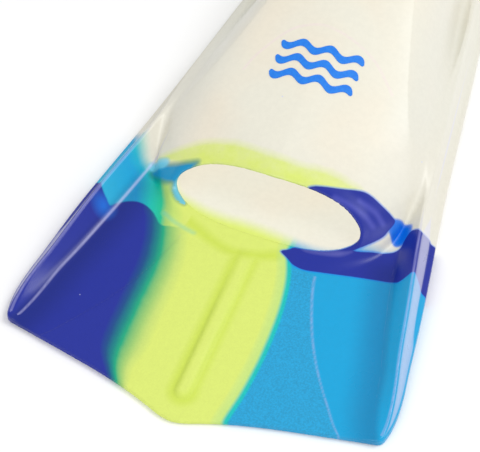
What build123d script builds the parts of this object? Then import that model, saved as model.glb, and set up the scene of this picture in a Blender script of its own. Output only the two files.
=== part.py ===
"""Short-blade silicone swim fin: a one-piece moulding, divided into its colour shots and moulded members.

The fin is drawn with s, the distance in millimetres from the nose of the blade, along +Y. X runs across
the fin and Z up from the floor. On export it moves back by half its length, so that the origin lies on
the floor under the middle of the fin. The blade bends up and down at its root, and the heel cup folds
back to let a foot in. Each bend is cut as a knuckle: a round end in a round seat, with a notch that
leaves room for the swing.
"""

from build123d import *
from math import cos, pi, radians, sin, tan
import os

# Overall
LENGTH = 370.0  # nose of the blade to the back of the heel
FLOOR_Z = 8.0  # top of the sole inside the foot pocket
BIG = 400.0  # past the sides and ends
ABOVE, BELOW = 90.0, -20.0  # past the top and the floor
SLIVER = 1.0  # pieces under this volume are left out

# Half width of the base along the fin: (s, half width)
HALF_WIDTH = [(25, 99.5), (42, 101.6), (67, 98.8), (96, 95.0), (150, 86.4), (270, 69.8), (318, 61.5),
              (340, 54.0)]
HEEL_ROUND_S = 340.0  # the heel's rounded end starts here
HEEL_END_HALF = 54.0

# Trailing edge, half of a shallow V with a blunt nose
NOSE_HALF, NOSE_S = 6.0, 1.0
BEND_HALF, BEND_S = 33.0, 11.5
CORNER_HALF, CORNER_S = 98.0, 24.5

# Web and sole: (s, height over the floor)
WEB_TOP = [(0, 3.0), (25, 4.0), (105, 8.0), (LENGTH, 8.0)]
WEB_UNDER = [(0, 0.0), (25, 0.0), (105, 3.5), (140, 0.0), (LENGTH, 0.0)]

# Side rails, along s: slope foot and crest measured in from the base edge, and height of the crest
RAIL_STATIONS = [25, 42, 67, 96, 107, 150, 210, 270, 318, 326]
FOOT_IN = [(22, 3.0), (30, 7.7), (66, 14.3), (103, 18.3), (140, 19.0), (270, 17.0), (340, 16.0)]
CREST_IN = [(25, 1.6), (66, 5.2), (100, 7.0), (340, 7.0)]
CREST_Z = [(25, 4.6), (45, 9.0), (66, 12.5), (107, 18.5), (290, 19.0), (340, 15.0)]
CREST_FLAT = 2.0  # width of the flat top
FLANGE_Z = 3.6  # height of the upright base edge

# Raised centre rib of the blade
RIB_START_S, RIB_END_S = 16.5, 92.0
RIB_HALF, RIB_RISE = 2.6, 1.9

# Foot pocket, as level slices: (z, toe s, shoulder half width, shoulder s, heel half width, back s)
SLICES = [
    (4.0, 102.0, 72.0, 170.0, 47.0, 364.0),
    (12.0, 111.0, 72.0, 171.0, 47.5, 366.0),
    (20.0, 124.0, 69.0, 173.0, 47.0, 367.0),
    (30.0, 138.0, 62.5, 180.0, 45.5, 367.0),
    (38.0, 152.0, 55.5, 190.0, 43.0, 366.0),
    (46.0, 176.0, 47.5, 210.0, 40.5, 364.5),
    (54.0, 208.0, 39.5, 238.0, 37.5, 362.5),
    (62.0, 246.0, 31.5, 268.0, 34.0, 360.0),
    (67.0, 270.0, 26.0, 290.0, 30.0, 358.0),
]
# Room for the foot inside it, in the same form
ROOM = [
    (4.0, 105.0, 55.0, 160.0, 44.0, 361.0),
    (12.0, 114.0, 56.0, 160.0, 44.7, 363.0),
    (19.0, 126.5, 55.5, 162.0, 44.2, 364.0),
    (27.4, 140.8, 53.0, 168.0, 42.7, 364.0),
    (35.4, 154.8, 49.0, 180.0, 40.2, 363.0),
    (43.4, 178.8, 43.5, 204.0, 37.7, 361.5),
    (51.4, 210.8, 36.5, 236.0, 34.7, 359.5),
    (59.4, 248.8, 28.6, 268.0, 31.2, 357.0),
    (64.6, 272.8, 23.0, 290.0, 27.2, 355.0),
]
HEEL_CENTRE_S = 326.0

# Toe opening: the part of the pocket's front under a low arch
ARCH_HALF, ARCH_FOOT_Z, ARCH_RISE = 52.0, 11.5, 18.0
ARCH_FRONT_S, ARCH_BACK_S = 60.0, 150.0

# Rim of the foot opening, seen from the side: (s, z)
RIM = [(256, 76), (266, 62.5), (284, 52.5), (312, 47.5), (338, 51), (356, 58), (376, 61)]
COLLAR_DEPTH = 5.0

# Borders of the colour shots, as (x, s) lines, and their stations along s
LIME_LEFT = [(-30.0, -10.0), (-36.0, 25.0), (-40.5, 60.0), (-42.0, 90.0), (-47.0, 122.0)]
LIME_RIGHT = [(25.0, -10.0), (27.5, 40.0), (28.0, 65.0), (24.5, 90.0), (19.0, 122.0)]
NAVY_BAND_END = [(19.0, 122.0), (36.0, 119.0), (62.0, 130.0), (BIG, 132.0)]
RECESS_LEFT_X, RECESS_LEFT_END_S = -47.0, 146.0
LIP_END_S = 128.0
LEG_LEFT_X, LEG_RIGHT_X = -40.0, 14.0
LIP_RIGHT_X = 38.0
COVER_BORDER = [(-BIG, 144.0), (-50.0, 144.0), (-26.0, 153.0), (30.0, 153.0), (52.0, 144.0), (BIG, 144.0)]
MID_RAIL_LEFT_S, MID_RAIL_RIGHT_S = 150.0, 144.0

# Generic printed mark: three wavy bars on the instep, (s of the middle, length)
MARK_BARS = [(192.0, 46.0), (200.0, 46.0), (208.0, 46.0)]
MARK_WAVE, MARK_WIDTH, MARK_RISE = 1.5, 2.6, 0.4
MARK_STEPS = 6  # straight steps in half a bar, four to a wave
MARK_FOOT_Z = 30.0  # under the instep where the mark lies

# Bends: pivot height and station, radius of the round end, notch angles from upright
GAP = 0.3
BLADE_S, BLADE_Z, BLADE_R = 100.0, 5.6, 3.0
BLADE_NOTCH = 13.5
HEEL_S, HEEL_Z, HEEL_R = 322.0, 4.0, 4.2
HEEL_NOTCH_UNDER = 19.0


def along(table, s):
    """Straight-line value of a (s, value) table."""
    if s <= table[0][0]:
        return table[0][1]
    for (s0, v0), (s1, v1) in zip(table, table[1:]):
        if s <= s1:
            return v0 + (v1 - v0) * (s - s0) / (s1 - s0)
    return table[-1][1]


def polygon_prism(points, low=-5.0, high=ABOVE):
    """Upright prism over a closed outline of (x, s) points."""
    face = make_face(Polyline(*points, close=True).edges())
    return extrude(Pos(0, 0, low) * face, high - low, dir=(0, 0, 1))


def side_prism(points, half=BIG / 2):
    """Prism across the fin over a closed outline of (s, z) points."""
    face = make_face(Polyline(*[(0, s, z) for s, z in points], close=True).edges())
    return extrude(face, half, dir=(1, 0, 0), both=True)


def half_width(s):
    return along(HALF_WIDTH, s)


def foot_x(s):
    """Foot of a rail's inner slope."""
    return half_width(s) - along(FOOT_IN, s)


# Web of the blade and sole of the pocket -----------------------------------------------------------


def base_outline():
    """Outline of the whole fin on the floor."""
    side = [(half, s) for s, half in HALF_WIDTH]
    turn = (HEEL_END_HALF * cos(radians(45)), HEEL_ROUND_S + (LENGTH - HEEL_ROUND_S) * sin(radians(45)))
    with BuildLine() as line:
        Polyline((0, 0), (NOSE_HALF, NOSE_S), (BEND_HALF, BEND_S), (CORNER_HALF, CORNER_S), side[0])
        Polyline(*side)
        Spline(side[-1], turn, (0, LENGTH), tangents=[(-0.4, 1), (-1, 0)])
        mirror(about=Plane.YZ)
    return make_face(line.edges())


def slab():
    """Web and sole in one, between the feet of the rails."""
    ends = [(LENGTH + 5, WEB_TOP[-1][1]), (LENGTH + 5, 0)]
    profile = side_prism([(-5, 0), (-5, WEB_TOP[0][1])] + WEB_TOP + ends + WEB_UNDER[::-1])
    feet = [(foot_x(s), s) for s in RAIL_STATIONS]
    right = [(BIG, -10), (BIG, feet[0][1])] + feet + [(BIG, feet[-1][1]), (BIG, BIG)]
    between = polygon_prism(right + [(-x, s) for x, s in right[::-1]])
    return extrude(base_outline(), ABOVE) & profile & between


def rail():
    """Right side rail over its whole length: inner slope, flat crest, outer slope, upright base edge."""
    sections = []
    for s in RAIL_STATIONS:
        w = half_width(s)
        crest = w - along(CREST_IN, s)
        top = along(CREST_Z, s)
        flat = min(CREST_FLAT, 0.4 * (w - crest))
        foot = foot_x(s)
        points = [(foot, s, 0), (foot, s, along(WEB_TOP, s)), (crest, s, top), (crest + flat, s, top)]
        points += [(w, s, min(FLANGE_Z, 0.8 * top)), (w, s, 0)]
        sections.append(make_face(Polyline(*points, close=True).edges()))
    return loft(sections, ruled=True)


def rib():
    """Raised rib on the middle of the blade, with a rounded end towards the nose."""
    with BuildLine() as line:
        right, left = (RIB_HALF, RIB_START_S), (-RIB_HALF, RIB_START_S)
        Polyline(right, (RIB_HALF, RIB_END_S), (-RIB_HALF, RIB_END_S), left)
        ThreePointArc(left, (0, RIB_START_S - RIB_HALF), right)
    top = WEB_TOP[:3]
    raised = [(s, z + RIB_RISE) for s, z in top]
    return extrude(make_face(line.edges()), ABOVE) & side_prism(top + raised[::-1])


# Foot pocket ---------------------------------------------------------------------------------------


def slice_face(row):
    """Level slice of the pocket: elliptical toe, straight sides and elliptical heel."""
    z, toe, shoulder, shoulder_s, heel, back = row
    with BuildLine(Plane.XY.offset(z)) as line:
        EllipticalCenterArc((0, shoulder_s), shoulder, shoulder_s - toe, 180, arc_size=180)
        Line((shoulder, shoulder_s), (heel, HEEL_CENTRE_S))
        EllipticalCenterArc((0, HEEL_CENTRE_S), heel, back - HEEL_CENTRE_S, 0, arc_size=180)
        Line((-heel, HEEL_CENTRE_S), (-shoulder, shoulder_s))
    return make_face(line.edges())


def through(rows):
    """Solid through level slices."""
    return loft([slice_face(row) for row in rows], ruled=True)


def above_floor(solid):
    """The part of a solid over the sole."""
    return solid & polygon_prism([(-BIG, -10), (BIG, -10), (BIG, BIG), (-BIG, BIG)], low=FLOOR_Z)


def toe_arch():
    """Prism along the fin under the arch of the toe opening."""
    with BuildLine(Plane.XZ) as line:
        EllipticalCenterArc((0, ARCH_FOOT_Z), ARCH_HALF, ARCH_RISE, 0, arc_size=180)
        Line((-ARCH_HALF, ARCH_FOOT_Z), (ARCH_HALF, ARCH_FOOT_Z))
    depth = ARCH_BACK_S - ARCH_FRONT_S
    return Pos(0, ARCH_FRONT_S, 0) * extrude(make_face(line.edges()), depth, dir=(0, 1, 0))


def over_rim(drop=0.0):
    """Everything over the rim of the foot opening, let down by drop."""
    with BuildLine(Plane.YZ) as line:
        Spline(*RIM)
        Polyline(RIM[-1], (RIM[-1][0], ABOVE), (RIM[0][0], ABOVE), RIM[0])
    return Pos(0, 0, -drop) * extrude(make_face(line.edges()), BIG / 2, dir=(1, 0, 0), both=True)


def pocket_shell(block):
    """Hollow pocket standing on the sole, with the toe opening and the foot opening cut."""
    return above_floor(block) - through(ROOM) - toe_arch() - over_rim()


def mark(block):
    """Printed mark as a thin film that follows the instep."""
    raised = Pos(0, 0, MARK_RISE) * block
    bars = []
    for middle, length in MARK_BARS:
        steps = range(-MARK_STEPS, MARK_STEPS + 1)
        wave = [(length / 2 * t / MARK_STEPS, middle + MARK_WAVE * sin(pi * t / 2)) for t in steps]
        top = [(x, s + MARK_WIDTH / 2) for x, s in wave]
        low = [(x, s - MARK_WIDTH / 2) for x, s in wave]
        bars.append((polygon_prism(top + low[::-1], low=MARK_FOOT_Z) & raised) - block)
    return bars


# Bends ---------------------------------------------------------------------------------------------


def pin(s, z, radius):
    """Cylinder across the fin."""
    return Pos(0, s, z) * Rot(0, 90, 0) * Cylinder(radius, BIG)


def beside(s, z, over, under, direction):
    """Everything on one side of a bend, leaning back from upright over and under the pivot."""
    off = direction * GAP / 2
    high = s + off + direction * tan(radians(over)) * (ABOVE - z)
    low = s + off + direction * tan(radians(under)) * (z - BELOW)
    far = s + direction * BIG
    return side_prism([(s + off, z), (high, ABOVE), (far, ABOVE), (far, BELOW), (low, BELOW)])


def blade_side():
    return beside(BLADE_S, BLADE_Z, BLADE_NOTCH, BLADE_NOTCH, -1) - pin(BLADE_S, BLADE_Z, BLADE_R + GAP)


def heel_side():
    return beside(HEEL_S, HEEL_Z, 0, HEEL_NOTCH_UNDER, 1) - pin(HEEL_S, HEEL_Z, HEEL_R + GAP)


def middle_side():
    behind_blade = beside(BLADE_S, BLADE_Z, BLADE_NOTCH, BLADE_NOTCH, 1) + pin(BLADE_S, BLADE_Z, BLADE_R)
    before_heel = beside(HEEL_S, HEEL_Z, 0, HEEL_NOTCH_UNDER, -1) + pin(HEEL_S, HEEL_Z, HEEL_R)
    return behind_blade & before_heel


# Zones of the colour shots -------------------------------------------------------------------------


def left_of(line):
    """Zone on the left of a border that runs along the fin."""
    return polygon_prism([(-BIG, line[0][1])] + line + [(-BIG, line[-1][1])])


def before(line):
    """Zone on the toe side of a border that runs across the fin."""
    return polygon_prism([(line[0][0], -10)] + line + [(line[-1][0], -10)])


def ahead_of(s):
    return before([(-BIG, s), (BIG, s)])


def left_part(x):
    return left_of([(x, -10), (x, BIG)])


def save(shape, name):
    """Write one node, moved to the fin's own origin."""
    parts = shape if isinstance(shape, list) else [shape]
    solids = [solid for part in parts for solid in part.solids() if solid.volume > SLIVER]
    body = solids[0] if len(solids) == 1 else Compound(children=solids)
    export_step(Pos(0, -LENGTH / 2, 0) * body, f"parts/{name}.step")


def save_blade(plate, left_rail, right_rail):
    """The blade: three shots of web between two rails, and the rib."""
    side = blade_side()
    web = plate & side
    left, not_right = left_of(LIME_LEFT), left_of(LIME_RIGHT)
    save(web & left, "blade_web_left")
    save((web - left) & not_right, "blade_web_centre")
    save(web - not_right, "blade_web_right")
    save(left_rail & side, "blade_rail_left")
    save(right_rail & side, "blade_rail_right")
    save(rib(), "centre_rib")


def save_sole(plate, middle):
    """The root of the blade in its shots, and the sole behind it."""
    sole = plate & middle
    left, not_right = left_of(LIME_LEFT + [(RECESS_LEFT_X, RECESS_LEFT_END_S)]), left_of(LIME_RIGHT)
    root_left = sole & left & ahead_of(RECESS_LEFT_END_S)
    root_centre = ((sole - left) & not_right) & ahead_of(LIP_END_S)
    root_right = (sole - not_right) & before(NAVY_BAND_END)
    save(root_left, "root_left")
    save(root_centre, "root_centre")
    save(root_right, "root_band_right")
    save(sole - root_left - root_centre - root_right, "pocket_sole")


def save_rails(left_rail, right_rail, middle):
    """The rails along the pocket, in two shots each."""
    left, right = left_rail & middle, right_rail & middle
    save(left & ahead_of(MID_RAIL_LEFT_S), "mid_rail_left")
    save(right & ahead_of(MID_RAIL_RIGHT_S), "mid_rail_right")
    save(left - ahead_of(MID_RAIL_LEFT_S), "rear_rail_left")
    save(right - ahead_of(MID_RAIL_RIGHT_S), "rear_rail_right")


def save_pocket(shell, block, middle):
    """The instep with its toe opening in four shots, the rim of the foot opening, and the mark."""
    rim = over_rim(COLLAR_DEPTH)
    walls = shell & middle
    cover = walls - rim
    front = cover & before(COVER_BORDER)
    lip_zone = ahead_of(LIP_END_S)
    shoulder_left = front & left_part(LEG_LEFT_X)
    lip = (front - left_part(LEG_LEFT_X)) & left_part(LIP_RIGHT_X) & lip_zone
    band = ((front - left_part(LEG_LEFT_X)) & left_part(LEG_RIGHT_X)) - lip_zone
    save(shoulder_left, "toe_shoulder_left")
    save(lip, "toe_lip")
    save(band, "toe_band")
    save(front - shoulder_left - lip - band, "toe_shoulder_right")
    save(cover - before(COVER_BORDER), "instep_cover")
    save(walls & rim, "foot_opening_rim")
    save(mark(block), "printed_mark")


def save_heel(plate, shell, left_rail, right_rail):
    """The heel behind its bend."""
    side = heel_side()
    rim = over_rim(COLLAR_DEPTH)
    save(plate & side, "heel_sole")
    save((shell & side) - rim, "heel_cup")
    save(shell & side & rim, "heel_rim")


def main():
    os.makedirs("parts", exist_ok=True)
    plate = slab()
    block = through(SLICES)
    shell = pocket_shell(block)
    middle = middle_side()
    right_rail = rail() - above_floor(block)
    left_rail = mirror(right_rail, about=Plane.YZ)
    save_blade(plate, left_rail, right_rail)
    save_sole(plate, middle)
    save_rails(left_rail, right_rail, middle)
    save_pocket(shell, block, middle)
    save_heel(plate, shell, left_rail, right_rail)


if __name__ == "__main__":
    main()
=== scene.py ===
"""Looks of the short-blade silicone swim fin.

The whole fin is one smooth skin, found as the zero level of a distance-like field over a grid that is
bent to the fin's outline. The skin is then cut into closed pieces along the borders of the poured colour
shots and of the moulded members. Lengths in the field are millimetres: x across the fin, s along it from
the nose of the blade, z up from the floor. Meshes are made in metres, in the row frame.
"""
import math

import bmesh
import bpy
import numpy as np
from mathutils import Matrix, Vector

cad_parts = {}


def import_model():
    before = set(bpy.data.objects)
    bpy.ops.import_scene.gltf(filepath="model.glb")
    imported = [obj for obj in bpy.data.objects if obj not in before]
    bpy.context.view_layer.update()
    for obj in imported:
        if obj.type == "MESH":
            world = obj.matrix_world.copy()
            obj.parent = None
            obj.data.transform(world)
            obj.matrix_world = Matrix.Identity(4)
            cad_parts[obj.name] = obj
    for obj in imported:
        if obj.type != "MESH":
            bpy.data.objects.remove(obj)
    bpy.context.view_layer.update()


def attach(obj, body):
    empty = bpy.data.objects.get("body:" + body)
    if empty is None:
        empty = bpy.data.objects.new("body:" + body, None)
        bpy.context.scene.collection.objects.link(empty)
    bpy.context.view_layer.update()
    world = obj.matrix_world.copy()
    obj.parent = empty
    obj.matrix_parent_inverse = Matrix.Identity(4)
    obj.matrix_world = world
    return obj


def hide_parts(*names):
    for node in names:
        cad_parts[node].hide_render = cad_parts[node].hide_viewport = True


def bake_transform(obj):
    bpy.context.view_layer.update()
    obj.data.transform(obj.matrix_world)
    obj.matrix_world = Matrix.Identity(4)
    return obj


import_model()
MM = 0.001
LENGTH = 370.0  # nose of the blade to the back of the heel
MID = LENGTH / 2  # the row frame's origin along the fin

# Outline and side rails, as tables of (s, value)
HALF_WIDTH = [(0, 94.0), (14, 97.2), (25, 99.6), (34, 101.3), (42, 101.6), (52, 100.9), (67, 98.8),
              (96, 95.0), (127, 90.2), (150, 86.4), (181, 81.6), (208, 77.9), (240, 73.7), (270, 69.8),
              (300, 65.2), (322, 60.8), (340, 55.5), (372, 46.0)]
EDGE = [(-40, 13.0), (-26, 8.4), (-14, 4.2), (-6, 1.2), (0, 0.2), (6, 1.2), (14, 4.2), (26, 8.4),
        (42, 12.8), (66, 18.0), (84, 21.6), (104, 25.6)]
WEB_TOP = [(0, 2.9), (12, 3.3), (25, 4.0), (60, 5.9), (105, 8.0), (140, 8.0), (LENGTH, 8.0)]
WEB_UNDER = [(0, 0.0), (25, 0.1), (60, 1.6), (105, 3.2), (125, 1.6), (145, 0.0), (LENGTH, 0.0)]
CREST_Z = [(14, 4.2), (25, 5.0), (45, 9.2), (66, 12.7), (90, 16.4), (107, 18.2), (150, 18.8), (290, 18.8),
           (318, 15.6), (350, 8.2), (LENGTH, 8.0)]
CREST_IN = [(14, 0.6), (25, 1.8), (42, 3.9), (66, 6.0), (100, 7.8), (340, 8.0), (LENGTH, 8.0)]
FOOT_IN = [(14, 2.0), (24, 4.2), (30, 7.7), (66, 14.3), (103, 18.3), (140, 19.4), (270, 17.4),
           (LENGTH, 16.0)]
FLANGE_Z = 3.6
RIB_START, RIB_HALF, RIB_RISE = 16.5, 3.6, 1.9

# Outside of the pocket and the room for the foot, in level slices:
# (z, toe s, shoulder half width, shoulder s, heel half width, back s)
OUTSIDE = [(4, 99, 66, 165, 47, 364), (12, 113, 69.5, 169, 47.5, 366), (20, 124.5, 69, 173, 47, 367),
           (30, 138, 62.5, 180, 45.5, 367), (38, 152, 55.5, 190, 43, 366),
           (46, 176, 47.5, 210, 40.5, 364.5), (54, 208, 39.5, 238, 37.5, 362.5),
           (62, 246, 31.5, 268, 34, 360), (67, 270, 26, 290, 30, 358)]
ROOM = [(4, 105, 55, 160, 44, 361), (12, 114, 56, 160, 44.7, 363), (19, 126.5, 55.5, 162, 44.2, 364),
        (27.4, 140.8, 53, 168, 42.7, 364), (35.4, 154.8, 49, 180, 40.2, 363),
        (43.4, 178.8, 43.5, 204, 37.7, 361.5), (51.4, 210.8, 36.5, 236, 34.7, 359.5),
        (59.4, 248.8, 28.6, 268, 31.2, 357), (64.6, 272.8, 23, 290, 27.2, 355)]
HEEL_CENTRE = 326.0
BLADE_BEND, HEEL_BEND = (104, 45), (305, 352)  # bend zones of the blade and the heel, from the pocket to the moving end; here only their starts are read, to choose which pieces join the pocket
PROBE = 0.08  # step for slopes of the field
FLOOR_Z = 8.0  # floor of the room for the foot
ARCH_HALF, ARCH_Z, ARCH_RISE, ARCH_DROP, ARCH_BACK = 52.0, 14.0, 17.3, 5.5, 150.0
TOE_POWER = [(0, 2.9), (12, 2.9), (16.5, 2.3), (21, 2.0), (90, 2.0)]  # squareness of the toe, by height
RIM = [(200, 140), (240, 96), (256, 76), (266, 62.5), (284, 52.5), (312, 47.5), (338, 51), (356, 57),
       (376, 60)]


# Curves and smooth joins ---------------------------------------------------------------------------


def curve(points):
    """Smooth curve through (t, value) points, as a function."""
    t, v = np.array(points, float).T
    slope = np.gradient(v, t)
    fine = np.linspace(t[0], t[-1], 1500)
    i = np.clip(np.searchsorted(t, fine, side="right") - 1, 0, len(t) - 2)
    h = t[i + 1] - t[i]
    q = (fine - t[i]) / h
    start = (1 + 2 * q) * (1 - q) ** 2 * v[i] + q * (1 - q) ** 2 * h * slope[i]
    end = q * q * (3 - 2 * q) * v[i + 1] + q * q * (q - 1) * h * slope[i + 1]
    return lambda a: np.interp(a, fine, start + end)


def smin(a, b, k):
    """Smooth union of two fields, with a fillet of about k."""
    h = np.maximum(k - np.abs(a - b), 0) / k
    return np.minimum(a, b) - h * h * k / 4


def smax(a, b, k):
    """Smooth intersection of two fields."""
    return -smin(-a, -b, k)


def step(a, low, high):
    """0 below low, 1 above high, smooth between."""
    t = np.clip((a - low) / (high - low), 0, 1)
    return t * t * (3 - 2 * t)


half_width, edge_s = curve(HALF_WIDTH), curve(EDGE)
web_top, hollow_under = curve(WEB_TOP), curve(WEB_UNDER)
crest_z, crest_in, foot_in = curve(CREST_Z), curve(CREST_IN), curve(FOOT_IN)
rim_z, toe_power = curve(RIM), curve(TOE_POWER)


def web_under(s):
    """Height of the underside, which is flat on the floor behind the root of the blade."""
    return np.maximum(hollow_under(s), 0)


def columns(rows):
    """The columns of a slice table as curves over z."""
    return [curve([(row[0], row[k]) for row in rows]) for k in range(1, 6)]


OUTSIDE_AT, ROOM_AT = columns(OUTSIDE), columns(ROOM)


# The fin's field -----------------------------------------------------------------------------------


def planform(x, s):
    """Outline on the floor: sides, shallow V of the trailing edge, round heel."""
    side = (np.abs(x) - half_width(s)) * 0.99
    tip = (edge_s(np.abs(x)) - s) * 0.97
    heel = s - 330 - 40 * np.sqrt(np.maximum(1 - (x / 57.5) ** 2, 1e-4))
    return smax(smax(side, tip, 3.0), heel, 3.0)


def slope_line(t, z, t0, z0, t1, z1):
    """Distance over the line from (t0, z0) to (t1, z1), positive above it."""
    run, rise = t1 - t0, z1 - z0
    return ((z - z0) * run - (t - t0) * rise) / np.sqrt(run * run + rise * rise)


def panel_edge(x, s):
    """Distance outside the grained middle panel of the blade, whose sides bow inwards."""
    ax = np.abs(x)
    return (ax - PANEL_X(s)) * 0.75


PANEL_X = curve([(0, 112.0), (20, 79.5), (35, 67.5), (48, 58.6), (66, 48.8), (84, 41.6), (98, 37.4),
                 (110, 35.6)])


def base(x, s, z):
    """Web, sole and side rails."""
    t = half_width(s) - np.abs(x)
    top, under, crest = web_top(s), web_under(s), crest_z(s)
    foot, peak = foot_in(s), crest_in(s)
    flange = np.minimum(FLANGE_Z, 0.75 * crest)
    outer = slope_line(t, z, 0.0, flange, peak - 0.8, crest)
    inner = slope_line(t, z, peak + 0.8, crest, foot, top)
    ridge = smax(smax(outer, inner, 1.0), z - crest, 0.5)
    panel = 0.35 * (1 - step(panel_edge(x, s), -0.8, 0.8)) * step(s, 4, 12) * (1 - step(s, 96, 102))
    upper = smin(z - top - panel, ridge, 2.2)
    lower = under * step(t, 5.0, 16.0) - z
    rib_plan = np.sqrt(x * x + np.maximum(RIB_START - s, 0) ** 2) - RIB_HALF
    rib = smax(rib_plan, z - top - panel - RIB_RISE * (1 - step(s, 100, 112)), 2.6)
    upper = smin(upper, rib, 2.2)
    return smax(smax(upper, lower, 1.0), planform(x, s), 1.2)


def oval(a, half_a, b, half_b, power):
    """Distance to a closed curve between an ellipse (power 2) and a rectangle."""
    u, v = np.abs(a) / half_a, np.abs(b) / half_b
    q = (u ** power + v ** power) ** (1 / power) + 1e-6
    steep = np.sqrt(((u / q) ** (power - 1) / half_a) ** 2 + ((v / q) ** (power - 1) / half_b) ** 2)
    return (q - 1) / np.maximum(steep, 1e-3)


def pocket_level(x, s, z, at):
    """Distance in its own level to a slice of the pocket."""
    toe, shoulder, shoulder_s, heel, back = [c(z) for c in at]
    share = step(s, shoulder_s, HEEL_CENTRE)
    front = s < shoulder_s
    ahead = np.where(front, shoulder_s - s, np.maximum(s - HEEL_CENTRE, 0))
    reach = np.where(front, shoulder_s - toe, back - HEEL_CENTRE)
    return oval(x, shoulder + (heel - shoulder) * share, ahead, reach, np.where(front, toe_power(z), 2.0))


def pocket(x, s, z, at):
    """Distance to the pocket's surface, corrected for its slope."""
    level = pocket_level(x, s, z, at)
    lean = pocket_level(x, s, z + 0.5, at) - pocket_level(x, s, z - 0.5, at)
    return level / np.sqrt(1 + lean * lean)


def toe_eye(x, z):
    """The toe opening, seen along the fin: a low arch over a nearly flat lip."""
    above = z > ARCH_Z
    return oval(x, ARCH_HALF, z - ARCH_Z, np.where(above, ARCH_RISE, ARCH_DROP), np.where(above, 1.75, 3.0))


def field(x, s, z):
    """Negative inside the fin, about a distance in millimetres near its surface."""
    outside, room = pocket(x, s, z, OUTSIDE_AT), pocket(x, s, z, ROOM_AT)
    fin = smin(base(x, s, z), smax(outside, web_under(s) + 2.0 - z, 1.0), 3.0 + 8.0 * step(s, 145, 185))
    fin = smax(fin, -z, 0.3)
    hollow = smax(room, FLOOR_Z - z, 5.0)
    fin = smax(fin, -hollow, 1.2)
    eye = toe_eye(x, z)
    fin = smax(fin, -smax(smax(eye, s - ARCH_BACK, 2.0), z - 60, 1.0), 1.5)
    wall = outside + 1.7
    beyond = np.maximum(s - ARCH_BACK, 0)
    fin = smin(fin, np.sqrt(wall ** 2 + eye ** 2 + beyond ** 2) - 1.4 - 0.7 * step(z, 12, 20), 1.5)
    over = (z - rim_z(s)) * 0.85
    fin = smax(fin, over, 1.2)
    bead = np.sqrt((outside + 2.2) ** 2 + over ** 2 + np.maximum(250 - s, 0) ** 2) - 2.5
    return smin(fin, bead, 1.5)


def gradient(p):
    """Field and its gradient at points (n, 3)."""
    value = field(*p.T)
    g = np.empty_like(p)
    for k in range(3):
        d = np.zeros(3)
        d[k] = PROBE
        g[:, k] = (field(*(p + d).T) - value) / PROBE
    return value, g


# The skin ------------------------------------------------------------------------------------------


def spaced(stops):
    """Grid values with a step that changes along the way: [(start, step), ..., (end, 0)]."""
    out = []
    for (a, gap), (b, _) in zip(stops, stops[1:]):
        out.append(np.linspace(a, b, max(int(round((b - a) / gap)), 1), endpoint=False))
    return np.concatenate(out + [[stops[-1][0]]])


def grid():
    """Points of a grid that is bent to the fin's sides and trailing edge."""
    side = spaced([(0, 1.5), (36, 1.25), (68, 0.9), (103, 0)])
    u = np.concatenate([-side[:0:-1], side]) / 100.0
    v = spaced([(-3, 0.8), (4, 1.2), (100, 0.9), (156, 1.5), (250, 1.3), (374, 0)])
    w = spaced([(-2.0, 0.75), (20.5, 1.1), (71, 0)])
    wide = half_width(np.clip(v, 42.0, 340.0))
    x = u[:, None] * wide[None, :]
    s = v[None, :] + edge_s(np.abs(x)) * np.clip(1 - v / 100, 0, 1.05)[None, :]
    shape = (len(u), len(v), len(w))
    points = np.empty(shape + (3,))
    points[..., 0] = x[:, :, None]
    points[..., 1] = s[:, :, None]
    points[..., 2] = w[None, None, :]
    return points


def surface_net(points, f):
    """Quads of the zero level of f on a bent grid: one vertex for each cell that it crosses."""
    inside = f < 0
    cells = np.array(f.shape) - 1
    corner_ids, corner_points, quads = [], [], []
    for axis in range(3):
        low = [slice(None)] * 3
        high = [slice(None)] * 3
        low[axis], high[axis] = slice(0, -1), slice(1, None)
        at = np.argwhere(inside[tuple(low)] != inside[tuple(high)])
        nxt = at.copy()
        nxt[:, axis] += 1
        fa, fb = f[tuple(at.T)], f[tuple(nxt.T)]
        share = (fa / (fa - fb))[:, None]
        cross = points[tuple(at.T)] * (1 - share) + points[tuple(nxt.T)] * share
        one, two = [k for k in range(3) if k != axis]
        ring = []
        for d1, d2 in ((0, 0), (-1, 0), (-1, -1), (0, -1)):
            cell = at.copy()
            cell[:, one] += d1
            cell[:, two] += d2
            ids = (cell[:, 0] * cells[1] + cell[:, 1]) * cells[2] + cell[:, 2]
            corner_ids.append(ids)
            corner_points.append(cross)
            ring.append(ids)
        ring = np.stack(ring, 1)
        flip = (fa > 0) if axis != 1 else (fa < 0)
        ring[flip] = ring[flip][:, ::-1]
        quads.append(ring)
    ids, slots = np.unique(np.concatenate(corner_ids), return_inverse=True)
    cross = np.concatenate(corner_points)
    count = np.bincount(slots)
    verts = np.stack([np.bincount(slots, cross[:, k]) / count for k in range(3)], 1)
    return verts, np.searchsorted(ids, np.concatenate(quads))


def settle(verts, quads):
    """Evens the net out and drops it onto the zero level."""
    pairs = np.concatenate([quads[:, [0, 1]], quads[:, [1, 2]], quads[:, [2, 3]], quads[:, [3, 0]]])
    for strength in (0.5, 0.4, 0.0):
        if strength:
            total, count = np.zeros_like(verts), np.bincount(pairs[:, 0], minlength=len(verts))
            for k in range(3):
                total[:, k] = np.bincount(pairs[:, 0], verts[pairs[:, 1], k], minlength=len(verts))
            verts = verts + strength * (total / count[:, None] - verts)
        for _ in range(2):
            value, g = gradient(verts)
            move = -value[:, None] * g / np.maximum((g * g).sum(1), 0.05)[:, None]
            size = np.linalg.norm(move, axis=1)[:, None]
            verts = verts + move * np.minimum(1, 0.8 / np.maximum(size, 1e-9))
    return verts


def to_row(points):
    """Millimetres along the fin to metres in the row frame."""
    return (np.asarray(points, float) - [0, MID, 0]) * MM


def mesh_of(name, verts, faces):
    mesh = bpy.data.meshes.new(name)
    mesh.from_pydata(verts.tolist(), [], faces.tolist() if hasattr(faces, "tolist") else faces)
    mesh.update()
    return mesh


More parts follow.
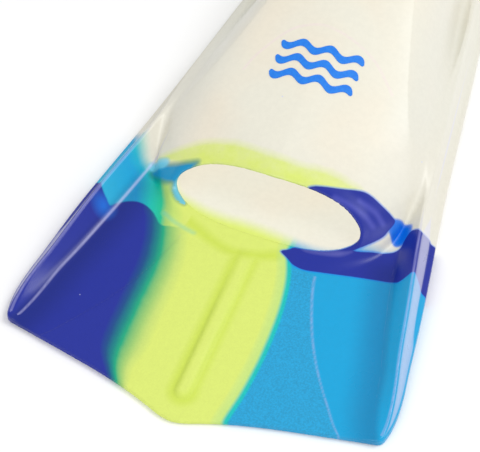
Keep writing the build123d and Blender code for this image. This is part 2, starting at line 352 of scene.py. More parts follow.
def skin():
    """The whole fin as one closed mesh."""
    points = grid()
    f = field(points[..., 0], points[..., 1], points[..., 2])
    verts, quads = surface_net(points, f)
    return mesh_of("skin", to_row(settle(verts, quads)), quads)


# Cutting the skin into pieces ----------------------------------------------------------------------

FAR = 260.0
SEAM_Z = 9.2  # level seam between the sole and what stands on it
BLADE_END, HEEL_START = 100.0, 322.0
RAIL_LINE = [(104, -20), (98.5, 22), (84.7, 66), (75.5, 103), (69, 135), (70, 150), (72.5, 160), (71, 175),
             (54.5, 280), (49.5, 322), (47.5, 345), (47.5, 380)]
LIME_LEFT = [(-24, -20), (-31.5, 9), (-36.5, 20), (-38, 36), (-39, 58), (-39.5, 74), (-42, 92),
             (-46.5, 105), (-51, 113), (-52, 120), (-47, 146)]
LIME_RIGHT = [(25, -20), (25.2, 8), (27.4, 24), (28.8, 45), (28.7, 62), (27, 82), (23, 100), (20, 108),
              (19, 128)]
BAND_END = [(19, 128), (19.5, 119.5), (46, 119.5), (60, 127), (70.5, 132), (FAR, 132)]
COVER_START = [(-FAR, 143), (-58, 143), (-45, 148.5), (38, 148.5), (52, 147.5), (FAR, 147.5)]


def solid_of(flat, low, high, turn):
    """Closed prism over a flat outline; turn places (a, b, height) as (x, s, z)."""
    n = len(flat)
    verts = [turn(a, b, low) for a, b in flat] + [turn(a, b, high) for a, b in flat]
    faces = [list(range(n)), list(range(n, 2 * n))]
    faces += [[k, (k + 1) % n, (k + 1) % n + n, k + n] for k in range(n)]
    mesh = mesh_of("cutter", to_row(verts), faces)
    bm = bmesh.new()
    bm.from_mesh(mesh)
    bmesh.ops.recalc_face_normals(bm, faces=bm.faces)
    bm.to_mesh(mesh)
    bm.free()
    return mesh


def plan_cutter(outline, low=-20.0, high=120.0):
    return solid_of(outline, low, high, lambda a, b, c: (a, b, c))


def side_cutter(profile, half=FAR):
    return solid_of(profile, -half, half, lambda a, b, c: (c, a, b))


def box_cutter(x=(-FAR, FAR), s=(-FAR, 2 * FAR), z=(-20.0, 120.0)):
    return plan_cutter([(x[0], s[0]), (x[1], s[0]), (x[1], s[1]), (x[0], s[1])], *z)


def split(mesh, cutter):
    """The parts of a closed mesh inside and outside a cutter."""
    objects = [bpy.data.objects.new("cut", data) for data in (mesh, cutter)]
    for obj in objects:
        bpy.context.scene.collection.objects.link(obj)
    modifier = objects[0].modifiers.new("cut", "BOOLEAN")
    modifier.solver, modifier.object = "MANIFOLD", objects[1]
    out = []
    for operation in ("INTERSECT", "DIFFERENCE"):
        modifier.operation = operation
        depsgraph = bpy.context.evaluated_depsgraph_get()
        out.append(bpy.data.meshes.new_from_object(objects[0].evaluated_get(depsgraph)))
    for obj in objects:
        bpy.data.objects.remove(obj)
    return out


def left_of(line):
    return plan_cutter([(-FAR, line[0][1])] + line + [(-FAR, line[-1][1])])


def before(line):
    return plan_cutter([(line[0][0], -FAR)] + line + [(line[-1][0], -FAR)])


def carve(whole):
    """The skin's pieces by name."""
    out = {}
    inner = plan_cutter(RAIL_LINE + [(-x, s) for x, s in RAIL_LINE[::-1]])
    rim_line = [(s, float(rim_z(s)) - 5.0) for s in np.arange(236, 379, 4.0)]
    over_rim = side_cutter(rim_line + [(378, 110), (236, 110)])
    heel, body = split(whole, box_cutter(s=(HEEL_START, 2 * FAR)))
    out["heel_rim"], heel = split(heel, over_rim)
    cup_zone, heel_side = split(heel, inner)
    out["heel_cup"], low = split(cup_zone, box_cutter(z=(SEAM_Z, 120.0)))
    out["heel_sole"] = join(low, heel_side)
    blade, root = split(body, box_cutter(s=(-FAR, BLADE_END)))
    web, rails = split(blade, inner)
    out["blade_rail_left"], out["blade_rail_right"] = split(rails, box_cutter(x=(-FAR, 0)))
    out["blade_web_left"], web = split(web, left_of(LIME_LEFT))
    web, out["blade_web_right"] = split(web, left_of(LIME_RIGHT))
    stations = np.arange(12, 105, 4.0)
    rib_line = [(s, float(web_top(s)) + 0.7) for s in stations]
    over_web = side_cutter(rib_line + [(104, 20), (12, 20)], RIB_HALF + 1.8)
    out["centre_rib"], out["blade_web_centre"] = split(web, over_web)
    inside, rails = split(root, inner)
    left, right = split(rails, box_cutter(x=(-FAR, 0)))
    out["mid_rail_left"], out["rear_rail_left"] = split(left, box_cutter(s=(-FAR, 150)))
    out["mid_rail_right"], out["rear_rail_right"] = split(right, box_cutter(s=(-FAR, 144)))
    upper, sole = split(inside, box_cutter(z=(SEAM_Z, 120.0)))
    out["root_left"], sole = split(sole, left_of(LIME_LEFT))
    band = plan_cutter(LIME_RIGHT[-3:] + BAND_END[1:] + [(FAR, 90), (23, 90)])
    out["root_band_right"], sole = split(sole, band)
    out["root_centre"], out["pocket_sole"] = split(sole, box_cutter(s=(-FAR, 128)))
    out["foot_opening_rim"], upper = split(upper, over_rim)
    front, out["instep_cover"] = split(upper, before(COVER_START))
    out["toe_shoulder_left"], front = split(front, box_cutter(x=(-FAR, -48)))
    out["toe_lip"], front = split(front, box_cutter(x=(-60, 47), z=(0.0, 13.0), s=(0, 131)))
    out["toe_band"], out["toe_shoulder_right"] = split(front, box_cutter(x=(-FAR, 19.6)))
    return out


def join(one, two):
    """Two meshes as one."""
    bm = bmesh.new()
    bm.from_mesh(one)
    bm.from_mesh(two)
    bm.to_mesh(one)
    bm.free()
    return one


PIECES = carve(skin())


# Where the colours lie ------------------------------------------------------------------------------

# Loops and paths in plan around each shot and along painted shade and highlights, as (x, s). Their points
# were read by eye in the photo and carried to the fin through the fitted camera by a scratch script; most
# were then moved by hand, LEG_HIGHLIGHTS was not. Their points were read in the photo and carried to the
# fin through the fitted camera; most were then moved, but not the path of the highlights on the navy leg.
FRONT = [(-125, -40), (125, -40), (125, 128), (60, 128), (40, 120), (22, 119), (8, 121), (-10, 122),
         (-26, 122), (-38, 124), (-46, 126), (-51, 129), (-54, 133), (-60, 134.5), (-66, 138),
         (-71, 138.5), (-75, 144), (-79, 151), (-88, 156), (-125, 158)]
SKY_LEFT = [(-125, 117), (-93, 117), (-88, 115), (-84, 108.6), (-80, 105.4), (-77.6, 104.2), (-75.6, 107),
            (-72, 110.8), (-68, 112.7), (-64, 113.1), (-60, 112.2), (-56, 109.8), (-53, 107),
            (-49.5, 104), (-45, 104.5), (-36, 111), (-40, 150), (-60, 170), (-125, 170)]
COVER_BAND = [(-67, 140), (-62.5, 142.3), (-56, 144.5), (-45, 148.3), (-31, 150), (-17, 149.2), (-3, 147.2),
              (11, 147.4), (24, 149.5), (37, 149.6), (44, 148), (34, 141), (24, 134), (10, 130), (-20, 128),
              (-40, 130), (-47, 134), (-52, 137), (-60, 138.5)]
NAVY_LEG = [(19.2, 138), (21, 140.6), (26.5, 142.6), (34, 145), (43.5, 148.4), (49, 148.9), (56.5, 147.2),
            (62, 146), (64.6, 144.6), (63, 138.5), (61, 133.6), (55, 126.5), (48.7, 121), (40, 118),
            (38, 124), (42, 130), (34, 133)]
NAVY_BAND = [(15, 109.8), (19.5, 107.2), (24, 104.6), (30, 103.8), (38, 105.3), (53, 108.5), (72, 112),
             (77.5, 111.2), (81, 113.2), (84.4, 115.6), (88, 113.6), (92.4, 110.4), (112, 109),
             (112, 143), (87.3, 142.2), (83.5, 143.6), (79.8, 141.2), (76.5, 142.6), (73.4, 142.6),
             (71.8, 138), (70.4, 132.4), (60, 126.4), (51, 122), (44, 122), (32, 122), (25.5, 120.5),
             (22, 116), (18.6, 112)]
AZURE = [(63.8, 145.6), (68.5, 148), (72.8, 147), (74, 141), (72.4, 136), (68.6, 134.6), (65.4, 136.6),
         (62.8, 139.4)]
RIM_BLUE = [(-42, 119), (-47, 120.4), (-50.6, 123.6), (-52.4, 127), (-57, 127.6), (-62, 129.4),
            (-67, 132.4), (-66.4, 135.2), (-60, 136.6), (-53.4, 137.2), (-47, 138.2), (-42, 138.6),
            (-44, 134), (-46, 128), (-45, 123)]
STREAK = [(-50, 111.5), (-44, 108.4), (-37, 106.4), (-31, 105)]
# Path of the painted shade in the fold before the lip.
CREASE = [(-36, 110.5), (-28.6, 107.2), (-20, 103.8), (-12, 101.6), (-4, 101.6), (6, 104), (14, 107)]
# Painted highlight on the ridge at the left end of the toe opening.
FOLD_HIGHLIGHT = [(-67, 137.5), (-61.5, 137.5)]
# Painted highlights: two soft reflections along the navy leg of the toe arch.
LEG_HIGHLIGHTS = [(33, 139.8), (41.2, 139.9), (49.9, 138.7), (54.9, 136.6)], [(45, 143.9), (53.9, 142.8),
               (59.1, 140.2)]
LIP_SHEEN = [(23, 116.5), (30, 118.6), (44, 119.8), (50, 121.5), (45, 117), (37, 114.8), (27, 113.6)]
MARK_ARCH = [(-37, 190), (-33, 200), (-22, 216), (-12, 222), (-3, 223.5), (12, 220.5), (28, 213), (42, 200)]


def rounded(points, closed=True):
    """Points of a smooth line through a few points."""
    p = np.array(points, float)
    n = len(p)
    if not closed:
        p = np.concatenate([[2 * p[0] - p[1]], p, [2 * p[-1] - p[-2]]])
    out = []
    for k in range(n if closed else n - 1):
        a, b, c, d = [p[(k + j - 1) % n] if closed else p[k + j] for j in range(4)]
        for t in (0.0, 0.25, 0.5, 0.75):
            out.append(0.5 * (2 * b + (c - a) * t + (2 * a - 5 * b + 4 * c - d) * t ** 2
                              + (3 * b - a - 3 * c + d) * t ** 3))
    return np.array(out if closed else out + [p[-2]])


def off_line(points, x, s):
    """Distance in plan from a line."""
    best = np.full(x.shape, 1e6)
    for (ax, ay), (bx, by) in zip(points, points[1:]):
        ex, ey = bx - ax, by - ay
        w = np.clip(((x - ax) * ex + (s - ay) * ey) / max(ex * ex + ey * ey, 1e-9), 0, 1)
        best = np.minimum(best, (x - ax - w * ex) ** 2 + (s - ay - w * ey) ** 2)
    return np.sqrt(best)


def within(loop, x, s):
    """Distance in plan inside a smooth loop, negative outside it."""
    p = rounded(loop)
    q = np.roll(p, -1, axis=0)
    inside = np.zeros(x.shape, bool)
    for (ax, ay), (bx, by) in zip(p, q):
        if ay != by:
            inside ^= ((ay > s) != (by > s)) & (x < (bx - ax) * (s - ay) / (by - ay) + ax)
    return np.where(inside, 1, -1) * off_line(np.concatenate([p, p[:1]]), x, s)


def across(line):
    """Curve x(s) through (x, s) points."""
    return curve([(s, x) for x, s in line])


LEFT_X, RIGHT_X = across(LIME_LEFT), across(LIME_RIGHT)


def beside_rib(x, s):
    """Distance from the foot of the rib, for painted shade that deepens the lime there; weaker on the rib's
    lit side.
    """
    end = np.sqrt(x * x + np.maximum(RIB_START - s, 0) ** 2)
    return np.abs(end - RIB_HALF - 1.6) + 0.9 * step(x, -1, 2) * step(s, 16, 22) + np.where(s > 104, 9, 0)


def colour_fields(p):
    """Distances in millimetres that say which shot each vertex belongs to, and where painted shade and
    painted highlights and reflections lie.
    """
    x, s, z = p.T
    outer = (pocket(x, s, z, OUTSIDE_AT) + 2.2) * 0.8
    from_edge = half_width(s) - np.abs(x)
    foot, crest = np.abs(from_edge - foot_in(s)), np.abs(from_edge - crest_in(s))
    on_rail = (s > 27) & (s < 330)
    # Painted reflection: a pale patch on the outer slope of each rail, beside its crest.
    beside_crest = np.minimum(from_edge - 0.5, crest_in(s) - 1.2 - from_edge)
    flank_reflection = np.minimum(beside_crest, z - 8.0 * step(s, 30, 110) - 1.5)
    left = x < 0
    # Painted highlights along the foot and the crest of each rail, fainter on the right.
    rail_highlights = np.minimum(np.where(left, foot, foot + 0.8), np.where(left, crest, crest + 0.1))
    return {
        "left": (x - LEFT_X(s)) / (0.4 + 0.6 * step(s, 4, 34)),
        "right": x - RIGHT_X(s),
        "front": within(FRONT, x, s),
        "sky_left": within(SKY_LEFT, x, s),
        "drift": x + 0.35 * (s - 118) + 0.6 * np.maximum(z - 9, 0),
        "cover_band": np.minimum(within(COVER_BAND, x, s), np.minimum(outer, z - 11)),
        "navy": np.minimum(np.maximum(within(NAVY_LEG, x, s), within(NAVY_BAND, x, s)), outer),
        "azure": np.minimum(within(AZURE, x, s), outer),
        "rim_blue": np.minimum(within(RIM_BLUE, x, s), outer),
        "flank_reflection": flank_reflection - np.where(on_rail, 3 * step(s, 138, 160), 9),
        "streak": off_line(rounded(STREAK, False), x, s) + np.where(z > 12, 5, 0),
        # painted shade before the lip and beside the rib
        "crease_shade": np.minimum(off_line(rounded(CREASE, False), x, s), beside_rib(x, s)),
        "rail_highlights": np.where(on_rail, rail_highlights + 1.2 * step(s, 140, 170), 9.0),
        "rim_glint": np.abs(outer - 0.5) + np.where(within(RIM_BLUE, x, s) < -1, 9, 0),
        "azure_left": np.sqrt((x + 79.5) ** 2 + (s - 101.5) ** 2),
        # painted highlight at the left end of the toe opening
        "fold_highlight": off_line(FOLD_HIGHLIGHT, x, s) + np.where(outer < -0.5, 9, 0),
        # painted highlights on the navy leg
        "leg_highlights": np.minimum(*[off_line(rounded(line, False), x, s) for line in LEG_HIGHLIGHTS])
        + np.where(outer < -0.5, 9, 0),
        "lip_sheen": np.minimum(within(LIP_SHEEN, x, s), outer),
        "inside": np.minimum(-outer - 0.6, z - FLOOR_Z / 2 - 1.0),  # not the underside of the sole
        # distance from the foot of the rails, for the painted shade there
        "rail_foot_shade": from_edge - foot_in(s),
        "panel": np.maximum(panel_edge(x, s), s - 103.0),
        # painted highlight along the edge of the grained panel, fainter on the left
        "panel_highlight": np.abs(panel_edge(x, s)) + np.where(left, 0.75, 0.1) + np.where(s > 103, 9, 0),
        "arch": off_line(rounded(MARK_ARCH, False), x, s) + np.where(z < 25, 9, 0),
    }


# Materials ------------------------------------------------------------------------------------------


def rgb(r, g, b):
    """Linear colour from 0..255 display values."""
    return tuple(((c / 255 + 0.055) / 1.055) ** 2.4 if c > 10 else c / 3295 for c in (r, g, b)) + (1.0,)


CREAM, CREAM_WARM, BLUSH = rgb(230, 227, 212), rgb(233, 225, 207), rgb(235, 218, 218)
# The deepest of the limes is painted shade.
LIME, LIME_SHADE, LIME_GREY = rgb(214, 229, 112), rgb(198, 218, 74), rgb(156, 200, 110)
NAVY, TEAL_NAVY = rgb(22, 40, 150), rgb(8, 74, 134)
TEAL, GREEN = rgb(0, 128, 128), rgb(18, 165, 122)
TURQUOISE, SKY, SKY_PALE = rgb(0, 190, 182), rgb(0, 160, 214), rgb(100, 200, 232)
AZURE_BLUE, INK = rgb(0, 112, 222), rgb(6, 118, 226)
# Pale colour of the painted highlights on the rails and at the edge of the grained panel.
LINE_HIGHLIGHT = rgb(176, 176, 226)
INNER_GLOW = 0.8  # stands in for the light that the milky rubber lets through to the pocket's inside


class Nodes:
    """Short calls for a node tree."""

    def __init__(self, tree):
        self.tree = tree

    def add(self, kind, inputs=(), **settings):
        node = self.tree.nodes.new("ShaderNode" + kind)
        for key, value in settings.items():
            setattr(node, key, value)
        for key, value in dict(inputs).items():
            if isinstance(value, bpy.types.NodeSocket):
                self.tree.links.new(value, node.inputs[key])
            else:
                node.inputs[key].default_value = value
        return node

    def math(self, operation, a, b=0.0, clamp=False):
        return self.add("Math", {0: a, 1: b}, operation=operation, use_clamp=clamp).outputs[0]

    def attribute(self, name):
        return self.add("Attribute", attribute_name=name).outputs["Fac"]

    def span(self, value, low, high, to_low=0.0, to_high=1.0, smooth=True):
        node = self.add("MapRange", {0: value, 1: low, 2: high, 3: to_low, 4: to_high},
                        interpolation_type="SMOOTHSTEP" if smooth else "LINEAR")
        return node.outputs[0]

    def noise(self, where, scale, detail=2.0, rough=0.5):
        inputs = {"Vector": where, "Scale": scale, "Detail": detail, "Roughness": rough}
        return self.add("TexNoise", inputs).outputs["Fac"]

    def mix(self, factor, a, b, blend="MIX"):
        node = self.add("Mix", data_type="RGBA", blend_type=blend)
        for key, value in ((0, factor), (6, a), (7, b)):
            if isinstance(value, bpy.types.NodeSocket):
                self.tree.links.new(value, node.inputs[key])
            else:
                node.inputs[key].default_value = value
        return node.outputs[2]

    def layer(self, under, value, stops):
        """Lays a colour ramp over a colour. Stops are (distance, colour, cover)."""
        low, high = stops[0][0], stops[-1][0]
        ramp = self.add("ValToRGB", {0: self.span(value, low, high, smooth=False)})
        elements = ramp.color_ramp.elements
        while len(elements) < len(stops):
            elements.new(0.5)
        for element, (distance, colour, cover) in zip(elements, stops):
            element.position = (distance - low) / (high - low)
            element.color = colour[:3] + (cover,)
        return self.mix(ramp.outputs["Alpha"], under, ramp.outputs["Color"])


def pour_group():
    """The colour shots of the pour, wherever they lie on the fin, with painted shade and painted highlights
    and reflections laid over them.
    """
    tree = bpy.data.node_groups.new("pour", "ShaderNodeTree")
    tree.interface.new_socket("Color", in_out="OUTPUT", socket_type="NodeSocketColor")
    tree.interface.new_socket("Panel", in_out="OUTPUT", socket_type="NodeSocketFloat")
    tree.interface.new_socket("Rest", in_out="OUTPUT", socket_type="NodeSocketVector")
    tree.interface.new_socket("Glow", in_out="OUTPUT", socket_type="NodeSocketFloat")
    n = Nodes(tree)
    rest = n.add("Attribute", attribute_name="rest").outputs["Vector"]
    wide = n.math("SUBTRACT", n.noise(rest, 0.09, 3.0), 0.5)
    fine = n.math("SUBTRACT", n.noise(rest, 0.8, 3.0), 0.5)

    def at(name, swing=0.0, grain=0.0):
        value = n.attribute(name)
        if swing:
            value = n.math("ADD", value, n.math("MULTIPLY", wide, swing))
        if grain:
            value = n.math("ADD", value, n.math("MULTIPLY", fine, grain))
        return value

    cream = n.mix(n.span(n.noise(rest, 0.018, 2.0), 0.35, 0.7), CREAM, CREAM_WARM)
    # Painted shade: the cream greys towards the foot of each rail.
    cream = n.mix(n.span(at("rail_foot_shade"), 3.0, 24.0, 0.7, 0.0), cream, rgb(220, 219, 208))
    web = n.layer(cream, at("left", 1.6, 0.5), [
        (-16, NAVY, 1), (-12, NAVY, 1), (-8, TEAL_NAVY, 1), (-4.2, TEAL, 1), (-1.2, GREEN, 1),
        (1.2, rgb(116, 184, 112), 1), (4.5, LIME_GREY, 1), (8.5, rgb(196, 218, 114), 1), (13, LIME, 1)])
    # Painted shade: deeper lime before the lip and along the foot of the rib, less on its lit side.
    web = n.layer(web, at("crease_shade", 0, 0.4), [
        (0, LIME_SHADE, 0.8), (1.8, LIME_SHADE, 0.5), (4.5, LIME_SHADE, 0)])
    web = n.layer(web, at("right", 0.4, 0.2), [
        (-7, TURQUOISE, 0), (-2.2, rgb(150, 214, 140), 0.35), (-0.7, TURQUOISE, 0.8), (0, TURQUOISE, 1),
        (0.9, TURQUOISE, 1), (2.2, SKY, 1)])
    web = n.layer(web, at("azure_left"), [(0, AZURE_BLUE, 0.9), (3, AZURE_BLUE, 0.6), (7.5, AZURE_BLUE, 0)])
    recess = n.layer(cream, at("drift", 2.5, 0.6), [
        (-84, rgb(36, 173, 214), 1), (-69, SKY, 1), (-61, TURQUOISE, 1), (-54.5, rgb(20, 188, 140), 1),
        (-51.5, LIME_GREY, 1), (-47, rgb(194, 222, 112), 1), (-41, LIME, 1)])
    web = n.mix(n.span(at("sky_left", 0.6, 0.2), -0.5, 0.8), web, recess)
    colour = n.mix(n.span(at("front", 1.5, 0.6), -4.0, 6.0), cream, web)
    colour = n.layer(colour, at("streak", 0.5, 0.3), [
        (0, rgb(120, 205, 170), 0.5), (0.9, rgb(120, 205, 170), 0.3), (2.6, LIME, 0)])
    colour = n.layer(colour, at("cover_band", 2.2, 0.5), [
        (-2.6, LIME, 0), (0.2, LIME, 0.4), (2.4, LIME, 0.97), (6, LIME, 1), (9, rgb(204, 226, 92), 1)])
    colour = n.layer(colour, at("rim_blue", 0.5, 0.2), [
        (-2.2, TEAL, 0), (0.1, TEAL, 0.7), (1.8, rgb(0, 140, 190), 1), (2.6, rgb(0, 150, 205), 1)])
    colour = n.layer(colour, at("rim_glint"), [(0, SKY_PALE, 0.85), (0.6, SKY_PALE, 0.5), (1.3, SKY_PALE, 0)])
    # Painted highlight: pale blue on the ridge at the left end of the toe opening.
    colour = n.layer(colour, at("fold_highlight", 0.6), [(0, SKY_PALE, 0.9), (2.2, SKY_PALE, 0.7), (4, SKY, 0)])
    colour = n.layer(colour, at("azure", 0.3, 0.1), [
        (-0.6, AZURE_BLUE, 0), (0.6, AZURE_BLUE, 0.9), (2, AZURE_BLUE, 1)])
    colour = n.layer(colour, at("navy", 0.3, 0.15), [
        (-0.9, AZURE_BLUE, 0), (-0.1, AZURE_BLUE, 0.6), (0.35, NAVY, 1), (1.5, NAVY, 1)])
    # Painted highlights: two soft reflection streaks on the navy leg.
    colour = n.layer(colour, at("leg_highlights"), [(0, rgb(92, 96, 196), 0.5), (1.2, rgb(92, 96, 196), 0.25),
                                                 (3, NAVY, 0)])
    colour = n.layer(colour, at("lip_sheen"), [(-0.8, rgb(96, 98, 178), 0), (1.2, rgb(96, 98, 178), 0.7)])
    # Painted shade: the colour darkens and turns bluer along the foot of each rail on the blade.
    rail_foot_shade = n.math("MULTIPLY", n.span(at("rail_foot_shade"), -4.5, 0.0), n.span(at("rail_foot_shade"), 2.0, 20.0, 1.0, 0.0))
    rail_foot_shade = n.math("MULTIPLY", rail_foot_shade, n.span(at("front"), 0.0, 14.0, 0.0, 0.85))
    colour = n.mix(rail_foot_shade, colour, n.mix(1.0, colour, rgb(120, 205, 215), "MULTIPLY"))
    # Painted reflection: pale lavender over the outer slopes of the rails.
    colour = n.layer(colour, at("flank_reflection"), [(0, rgb(214, 214, 240), 0), (0.5, rgb(214, 214, 240), 0.42),
                                           (1.5, rgb(214, 214, 240), 0.5)])
    # Painted highlights: thin pale streaks along the foot and the crest of each rail.
    colour = n.layer(colour, at("rail_highlights"), [(0, LINE_HIGHLIGHT, 0.55), (0.45, LINE_HIGHLIGHT, 0.3), (1.0, LINE_HIGHLIGHT, 0)])
    colour = n.layer(colour, at("arch"), [(0, BLUSH, 0.6), (0.6, BLUSH, 0.3), (1.2, BLUSH, 0)])
    tint = n.span(n.noise(rest, 0.35, 4.0, 0.6), 0.3, 0.7, 0.985, 1.015)
    colour = n.mix(1.0, colour, n.add("CombineColor", {0: tint, 1: tint, 2: tint}).outputs[0], "MULTIPLY")
    specks = n.add("TexVoronoi", {"Vector": rest, "Scale": 0.045}).outputs["Distance"]
    dust = n.span(specks, 0.012, 0.024, 0.7, 0.0)
    colour = n.mix(dust, colour, rgb(200, 205, 240))
    end = tree.nodes.new("NodeGroupOutput")
    panel = n.span(at("panel"), -0.6, 0.6, 1.0, 0.0)
    grained_sky = n.math("MULTIPLY", n.math("MULTIPLY", panel, n.span(at("right"), 1.0, 3.0)), 0.7)
    colour = n.mix(grained_sky, colour, rgb(30, 154, 203))
    speckle = n.span(n.noise(rest, 1.1, 3.0, 0.7), 0.35, 0.65, -0.13, 0.13)
    grained = n.math("MULTIPLY", panel, n.span(at("right"), -1.0, 2.0, 0.15, 1.0))
    lift = n.math("ADD", n.math("MULTIPLY", speckle, grained), 1.0)
    colour = n.mix(1.0, colour, n.add("CombineColor", {0: lift, 1: lift, 2: lift}).outputs[0], "MULTIPLY")
    # Painted highlight along the edge of the grained panel.
    colour = n.layer(colour, at("panel_highlight"), [(0, LINE_HIGHLIGHT, 0.45), (0.5, LINE_HIGHLIGHT, 0.18), (1.0, LINE_HIGHLIGHT, 0)])
    along_fin = n.add("SeparateXYZ", {0: rest}).outputs[1]
    fade = n.span(along_fin, 180.0, 235.0, 1.0, 0.3)
    glow = n.math("MULTIPLY", n.span(at("inside"), -0.3, 1.2, 0.0, INNER_GLOW), fade)
    for key, value in (("Color", colour), ("Panel", panel), ("Rest", rest), ("Glow", glow)):
        tree.links.new(value, end.inputs[key])
    return tree


def silicone(name, tree, gloss):
    """Silicone rubber that shows the pour: glossy, but grained on the middle panel of the blade."""
    mat = bpy.data.materials.new(name)
    mat.use_nodes = True
    n = Nodes(mat.node_tree)
    shader = mat.node_tree.nodes["Principled BSDF"]
    pour = n.add("Group", node_tree=tree)
    rest, panel = pour.outputs["Rest"], pour.outputs["Panel"]
    grain = n.noise(rest, 1.5, 3.0, 0.65)
    waves = n.noise(rest, 0.12, 2.0)
    grained = n.math("MULTIPLY", grain, n.span(panel, 0, 1, 0.004, 0.13))
    height = n.math("ADD", grained, n.math("MULTIPLY", waves, 0.04))
    bump = n.add("Bump", {"Height": n.math("MULTIPLY", height, MM), "Strength": 0.7, "Distance": 1.0})
    smudge = n.span(n.noise(rest, 0.05, 3.0), 0.3, 0.7, gloss - 0.03, gloss + 0.04)
    rough = n.math("ADD", smudge, n.math("MULTIPLY", panel, 0.26))
    colour = pour.outputs["Color"]
    base = n.mix(pour.outputs["Glow"], colour, (0.0, 0.0, 0.0, 1.0))
    light = n.math("MULTIPLY", pour.outputs["Glow"], 1.12)
    for key, value in (("Base Color", base), ("Roughness", rough), ("Normal", bump.outputs[0])):
        mat.node_tree.links.new(value, shader.inputs[key])
    mat.node_tree.links.new(colour, shader.inputs["Emission Color"])
    mat.node_tree.links.new(light, shader.inputs["Emission Strength"])
    shader.inputs["IOR"].default_value = 1.43
    return mat


def ink():
    mat = bpy.data.materials.new("ink_blue")
    mat.use_nodes = True
    n = Nodes(mat.node_tree)
    shader = mat.node_tree.nodes["Principled BSDF"]
    rest = n.add("Attribute", attribute_name="rest").outputs["Vector"]
    colour = n.mix(n.span(n.noise(rest, 0.6, 3.0), 0.3, 0.7), INK, rgb(20, 128, 232))
    height = n.math("MULTIPLY", n.noise(rest, 2.0), 0.02 * MM)
    bump = n.add("Bump", {"Height": height, "Strength": 0.6, "Distance": 1.0})
    rough = n.span(n.noise(rest, 0.3), 0.3, 0.7, 0.36, 0.46)
    for key, value in (("Base Color", colour), ("Roughness", rough), ("Normal", bump.outputs[0])):
        mat.node_tree.links.new(value, shader.inputs[key])
    return mat


# Placing the pieces ----------------------------------------------------------------------------------

SLOT = {
    "blade_web_left": "silicone_navy", "blade_web_centre": "silicone_lime", "blade_web_right": "silicone_sky",
    "blade_rail_left": "silicone_sky", "blade_rail_right": "silicone_sky", "centre_rib": "silicone_lime",
    "root_left": "silicone_teal", "root_centre": "silicone_lime", "root_band_right": "silicone_navy",
    "pocket_sole": "silicone_cream", "mid_rail_left": "silicone_sky", "mid_rail_right": "silicone_navy",
    "rear_rail_left": "silicone_cream", "rear_rail_right": "silicone_cream",
    "toe_shoulder_left": "silicone_teal", "toe_lip": "silicone_lime", "toe_band": "silicone_lime",
    "toe_shoulder_right": "silicone_navy",
    "instep_cover": "silicone_cream", "foot_opening_rim": "silicone_cream", "heel_sole": "silicone_cream",
    "heel_cup": "silicone_cream", "heel_rim": "silicone_cream",
}


def carry(obj, low, high):
    """Joins a piece to the pocket's body; a piece that reaches into the blade's or the heel's bend is left
    unjoined, with its place baked into its mesh.
    """
    if low < BLADE_BEND[0]:
        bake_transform(obj)
    elif high > HEEL_BEND[0]:
        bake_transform(obj)
    else:
        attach(obj, "pocket")


def dress(mesh):
    """Stores the rest place of each vertex; returns the vertices in millimetres."""
    flat = np.empty(3 * len(mesh.vertices))
    mesh.vertices.foreach_get("co", flat)
    p = flat.reshape(-1, 3) / MM + [0, MID, 0]
    mesh.attributes.new("rest", "FLOAT_VECTOR", "POINT").data.foreach_set("vector", p.ravel())
    return p


def smooth_skin(mesh, p):
    """Normals of the field on the skin, so that seams between pieces don't show; flat ones on cut faces."""
    corners = np.empty(len(mesh.loops), int)
    mesh.loops.foreach_get("vertex_index", corners)
    centres, flat = np.empty((len(mesh.polygons), 3)), np.empty((len(mesh.polygons), 3))
    for key, target in (("center", centres), ("normal", flat)):
        buffer = np.empty(target.size)
        mesh.polygons.foreach_get(key, buffer)
        target[:] = buffer.reshape(-1, 3)
    value, g = gradient(centres / MM + [0, MID, 0])
    g /= np.maximum(np.linalg.norm(g, axis=1), 1e-6)[:, None]
    cut = (np.abs(value) > 0.3) | ((g * flat).sum(1) < 0.6)
    _, lean = gradient(p)
    lean /= np.maximum(np.linalg.norm(lean, axis=1), 1e-6)[:, None]
    sizes = np.empty(len(mesh.polygons), int)
    mesh.polygons.foreach_get("loop_total", sizes)
    face_of = np.repeat(np.arange(len(sizes)), sizes)
    normals = np.where(cut[face_of][:, None], flat[face_of], lean[corners])
    mesh.polygons.foreach_set("use_smooth", np.ones(len(sizes), bool))
    mesh.normals_split_custom_set(normals.tolist())


def place_pieces(tree):
    mats = {}
    for slot in sorted(set(SLOT.values())):
        mats[slot] = silicone(slot, tree, 0.34 if slot == "silicone_cream" else 0.3)
    for name, mesh in PIECES.items():
        mesh.name = name
        mesh.materials.clear()
        mesh.materials.append(mats[SLOT[name]])
        p = dress(mesh)
        for key, values in colour_fields(p).items():
            mesh.attributes.new(key, "FLOAT", "POINT").data.foreach_set("value", values)
        smooth_skin(mesh, p)
        obj = bpy.data.objects.new(name + "_look", mesh)
        bpy.context.scene.collection.objects.link(obj)
        carry(obj, p[:, 1].min(), p[:, 1].max())
        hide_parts(name)


# Printed mark: three wavy bars, as a thin film on the instep
BAR_STATIONS = (191.0, 200.0, 209.0)
BAR_HALF, BAR_WIDE, BAR_WAVE, BAR_PERIOD = 23.0, 4.2, 1.8, 15.3
FILM = 0.35


def instep_z(x, s):
    """Height of the instep over points in plan."""
    low, high = np.full(x.shape, 20.0), np.full(x.shape, 75.0)
    for _ in range(24):
        mid = (low + high) / 2
        inside = pocket(x, s, mid, OUTSIDE_AT) < 0
        low, high = np.where(inside, mid, low), np.where(inside, high, mid)
    return low


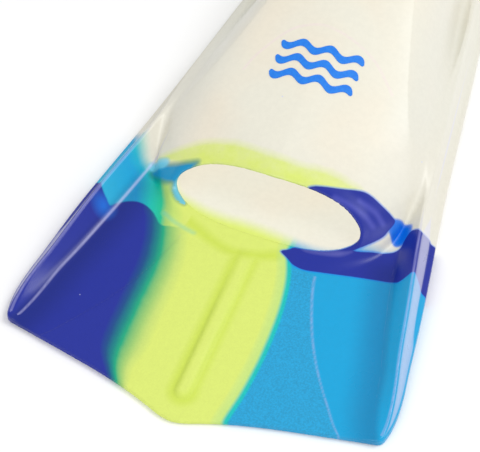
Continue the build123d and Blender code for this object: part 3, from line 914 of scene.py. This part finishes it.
def printed_mark():
    verts, faces = [], []
    for station in BAR_STATIONS:
        a, b = np.linspace(-1, 1, 93), np.linspace(-1, 1, 9)
        length, width = np.meshgrid(a, b, indexing="ij")
        past = np.clip((np.abs(length) * BAR_HALF - BAR_HALF + BAR_WIDE / 2) / (BAR_WIDE / 2), 0, 1)
        end = np.sqrt(np.clip(1 - past ** 2, 0.02, 1))
        x = length * BAR_HALF
        s = station + BAR_WAVE * np.sin(2 * math.pi * x / BAR_PERIOD) + width * end * BAR_WIDE / 2
        z = instep_z(x, s)
        start = len(verts)
        for rise in (FILM, -FILM):
            verts += np.stack([x, s, z + rise], -1).reshape(-1, 3).tolist()
        m, n = x.shape
        index = np.arange(m * n).reshape(m, n) + start
        for i in range(m - 1):
            for j in range(n - 1):
                quad = [index[i, j], index[i + 1, j], index[i + 1, j + 1], index[i, j + 1]]
                faces.append([int(k) for k in quad])
                faces.append([int(k) + m * n for k in quad[::-1]])
        edge = list(index[:, 0]) + list(index[-1, 1:]) + list(index[-2::-1, -1]) + list(index[0, -2:0:-1])
        for one, two in zip(edge, edge[1:] + edge[:1]):
            faces.append([int(one), int(one) + m * n, int(two) + m * n, int(two)])
    mesh = mesh_of("printed_mark", to_row(verts), faces)
    mesh.polygons.foreach_set("use_smooth", np.ones(len(mesh.polygons), bool))
    mesh.set_sharp_from_angle(angle=math.radians(50))
    mesh.materials.append(ink())
    dress(mesh)
    obj = bpy.data.objects.new("printed_mark_look", mesh)
    bpy.context.scene.collection.objects.link(obj)
    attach(obj, "pocket")
    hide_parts("printed_mark")


def camera():
    """The view of the photo, fitted to the outline, the rails and the rib."""
    cam = bpy.data.cameras.new("camera")
    cam.lens = 139.26
    cam.sensor_width = 36.0
    cam.clip_start, cam.clip_end = 0.05, 20.0
    obj = bpy.data.objects.new("camera", cam)
    obj.location = to_row((206.63, -428.32, 765.38))
    look = Vector(to_row((-8.546, 113.09, 15.0)))
    obj.rotation_mode = "QUATERNION"
    obj.rotation_quaternion = (look - obj.location).to_track_quat("-Z", "Y")
    bpy.context.scene.collection.objects.link(obj)
    bpy.context.scene.camera = obj


def lamp(name, spot, size, power):
    light = bpy.data.lights.new(name, "AREA")
    light.shape, light.size, light.energy = "SQUARE", size, power
    obj = bpy.data.objects.new(name, light)
    obj.location = spot
    obj.rotation_mode = "QUATERNION"
    obj.rotation_quaternion = (-Vector(spot)).to_track_quat("-Z", "Y")
    bpy.context.scene.collection.objects.link(obj)


def studio():
    corners = np.array([(-6, -6, 0), (6, -6, 0), (6, 6, 0), (-6, 6, 0)], float)
    floor = mesh_of("floor", corners, [(0, 1, 2, 3)])
    mat = bpy.data.materials.new("floor")
    mat.use_nodes = True
    mat.node_tree.nodes["Principled BSDF"].inputs["Base Color"].default_value = (0.97, 0.97, 0.97, 1)
    mat.node_tree.nodes["Principled BSDF"].inputs["Roughness"].default_value = 0.8
    floor.materials.append(mat)
    obj = bpy.data.objects.new("floor", floor)
    bpy.context.scene.collection.objects.link(obj)
    world = bpy.data.worlds.new("world")
    bpy.context.scene.world = world
    world.use_nodes = True
    world.node_tree.nodes["Background"].inputs["Color"].default_value = (1, 1, 1, 1)
    world.node_tree.nodes["Background"].inputs["Strength"].default_value = 0.68
    lamp("key", (0.9, 0.4, 1.4), 0.8, 12)
    lamp("front", (-0.2, -1.3, 0.9), 0.8, 5)
    bpy.context.scene.view_settings.view_transform = "Standard"


place_pieces(pour_group())
printed_mark()
camera()
studio()
